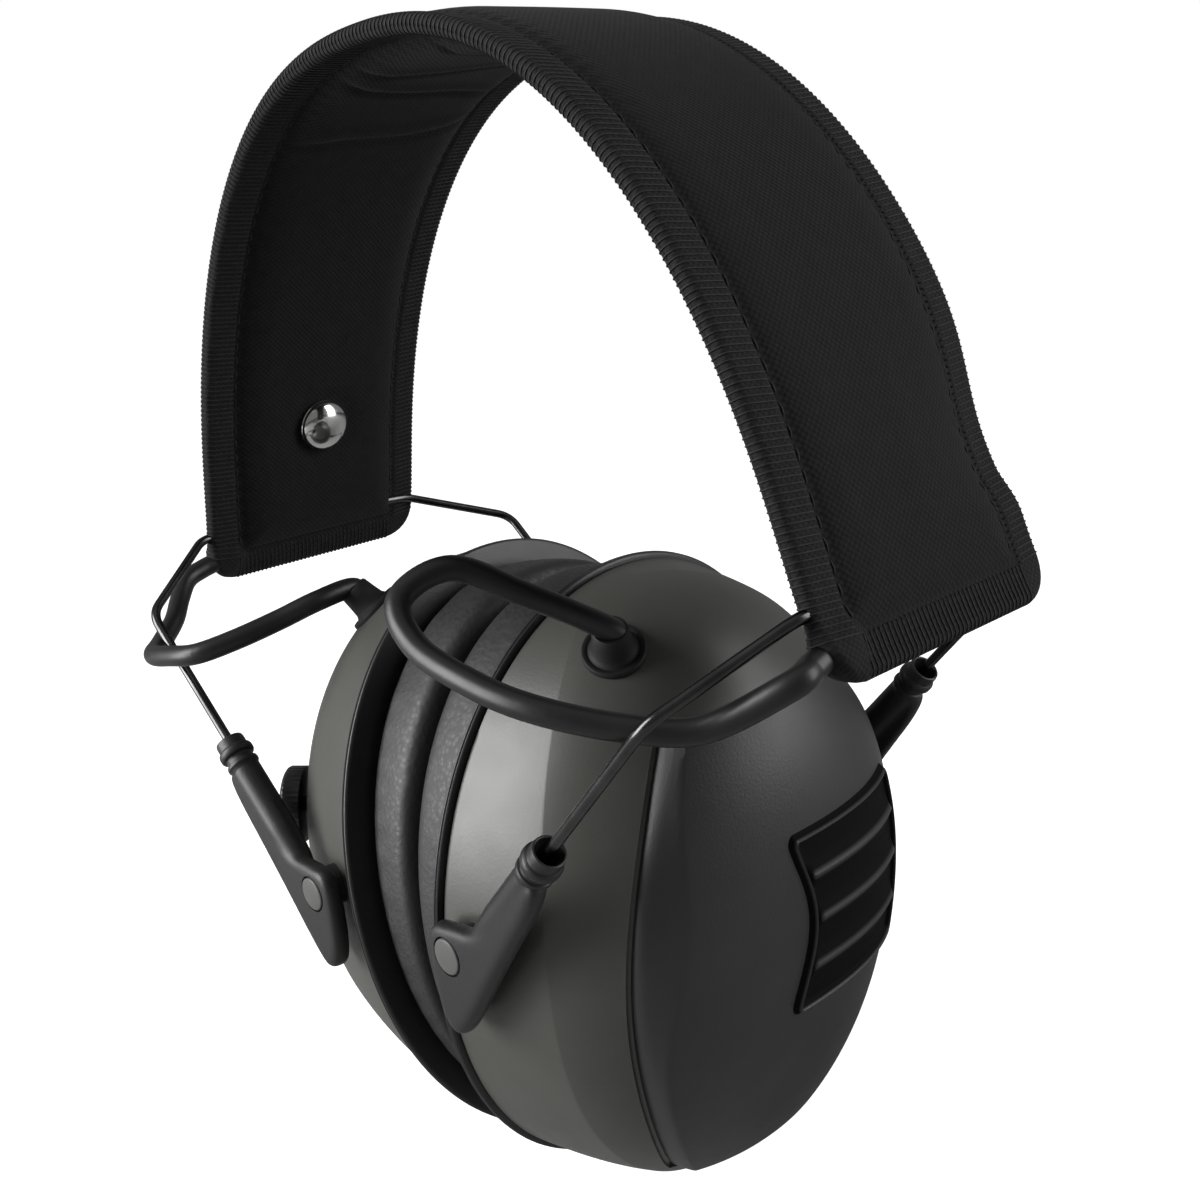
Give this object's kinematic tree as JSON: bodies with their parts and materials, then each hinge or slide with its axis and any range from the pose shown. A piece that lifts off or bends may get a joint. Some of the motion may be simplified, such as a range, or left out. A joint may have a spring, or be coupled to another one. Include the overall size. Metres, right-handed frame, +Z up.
{
  "type": "earmuff hearing protector",
  "caption": "Over-the-head earmuff: padded fabric headband, steel wire bails, sliding arms and two tilting domed ear cups with soft cushions and a link cable.",
  "frame": {"origin": "centre of the bounding box at its lowest level, under the closed cups", "axes": "X across the head towards the right cup, Y towards the wearer's face, Z up to the crown of the headband"},
  "size_m": [0.1676, 0.0999, 0.199],
  "materials": {
    "sleeve_fabric": "matte black woven sleeve with overcast edges",
    "pad_foam": "dark open-cell foam",
    "spring_steel": "satin spring steel",
    "snap_chrome": "polished",
    "bail_steel": "dark polished spring wire",
    "arm_plastic": "satin moulded charcoal",
    "pin_plastic": "satin mid grey",
    "shell_plastic": "satin moulded olive-grey",
    "rim_plastic": "satin black",
    "cover_plastic": "satin moulded charcoal",
    "grip_rubber": "soft matte black rubber",
    "cushion_vinyl": "fine-grained black vinyl",
    "liner_foam": "dark grey open-cell foam",
    "speaker_plastic": "black",
    "board": "green solder mask",
    "contact_metal": "nickel plated",
    "battery_wrap": "plain wrapped cell",
    "cable_rubber": "black with a soft gloss",
    "knob_plastic": "satin black"
  },
  "bodies": {
    "band_left": {"headband_cover_left": "sleeve_fabric", "headband_pad_left": "pad_foam", "spring_leaf_left": "spring_steel", "bail_clip_left": "spring_steel", "snap_rivet_left": "snap_chrome", "headband_cable_left": "cable_rubber"},
    "band_right": {"headband_cover_right": "sleeve_fabric", "headband_pad_right": "pad_foam", "spring_leaf_right": "spring_steel", "bail_clip_right": "spring_steel", "snap_rivet_right": "snap_chrome", "headband_cable_right": "cable_rubber"},
    "bail_left": {"wire_bail_left": "bail_steel", "link_cable_left": "cable_rubber"},
    "arms_left": {"arm_front_left": "arm_plastic", "arm_rear_left": "arm_plastic"},
    "cup_left": {"pivot_pins_left": "pin_plastic", "pivot_bushes_left": "arm_plastic", "cup_shell_left": "shell_plastic", "cup_rim_left": "rim_plastic", "outer_cover_left": "cover_plastic", "grip_insert_left": "grip_rubber", "ear_cushion_left": "cushion_vinyl", "foam_liner_left": "liner_foam", "speaker_left": "speaker_plastic", "microphone_left": "contact_metal", "circuit_board_left": "board", "cable_grommet_left": "grip_rubber", "volume_control": "contact_metal", "audio_jack": "rim_plastic"},
    "bail_right": {"wire_bail_right": "bail_steel", "link_cable_right": "cable_rubber"},
    "arms_right": {"arm_front_right": "arm_plastic", "arm_rear_right": "arm_plastic"},
    "cup_right": {"pivot_pins_right": "pin_plastic", "pivot_bushes_right": "arm_plastic", "cup_shell_right": "shell_plastic", "cup_rim_right": "rim_plastic", "outer_cover_right": "cover_plastic", "grip_insert_right": "grip_rubber", "ear_cushion_right": "cushion_vinyl", "foam_liner_right": "liner_foam", "speaker_right": "speaker_plastic", "microphone_right": "contact_metal", "circuit_board_right": "board", "cable_grommet_right": "grip_rubber", "battery_cells": "battery_wrap", "battery_contacts": "contact_metal"},
    "knob": {"volume_knob": "knob_plastic"}
  },
  "joints": [
    {"name": "band_spread", "type": "hinge", "parent": "band_left", "child": "band_right", "pos_m": [0, 0.0027, 0.199], "axis": [0, -1, 0], "range_deg": [0, 60]},
    {"name": "bail_swing_left", "type": "hinge", "parent": "band_left", "child": "bail_left", "pos_m": [-0.07651, 0.0027, 0.1137], "axis": [0, 1, 0], "range_deg": [0, 45], "deforming": ["link_cable_left"]},
    {"name": "arm_slide_left", "type": "slide", "parent": "bail_left", "child": "arms_left", "axis": [-0.7087, 0, 0.7055], "range_m": [0, 0.022]},
    {"name": "cup_tilt_left", "type": "hinge", "parent": "arms_left", "child": "cup_left", "pos_m": [-0.01921, 0.0027, 0.0599], "axis": [0, 1, 0], "range_deg": [-8, 8], "deforming": ["ear_cushion_left"]},
    {"name": "bail_swing_right", "type": "hinge", "parent": "band_right", "child": "bail_right", "pos_m": [0.07651, 0.0027, 0.1137], "axis": [0, -1, 0], "range_deg": [0, 45], "deforming": ["link_cable_right"]},
    {"name": "arm_slide_right", "type": "slide", "parent": "bail_right", "child": "arms_right", "axis": [0.7087, 0, 0.7055], "range_m": [0, 0.022]},
    {"name": "cup_tilt_right", "type": "hinge", "parent": "arms_right", "child": "cup_right", "pos_m": [0.01921, 0.0027, 0.0599], "axis": [0, 1, 0], "range_deg": [-8, 8], "deforming": ["ear_cushion_right"]},
    {"name": "volume_turn", "type": "hinge", "parent": "cup_left", "child": "knob", "pos_m": [-0.03969, -0.0301, 0.0671], "axis": [-0.7021, -0.7043, 0.1051], "range_deg": [0, 270]}
  ]
}
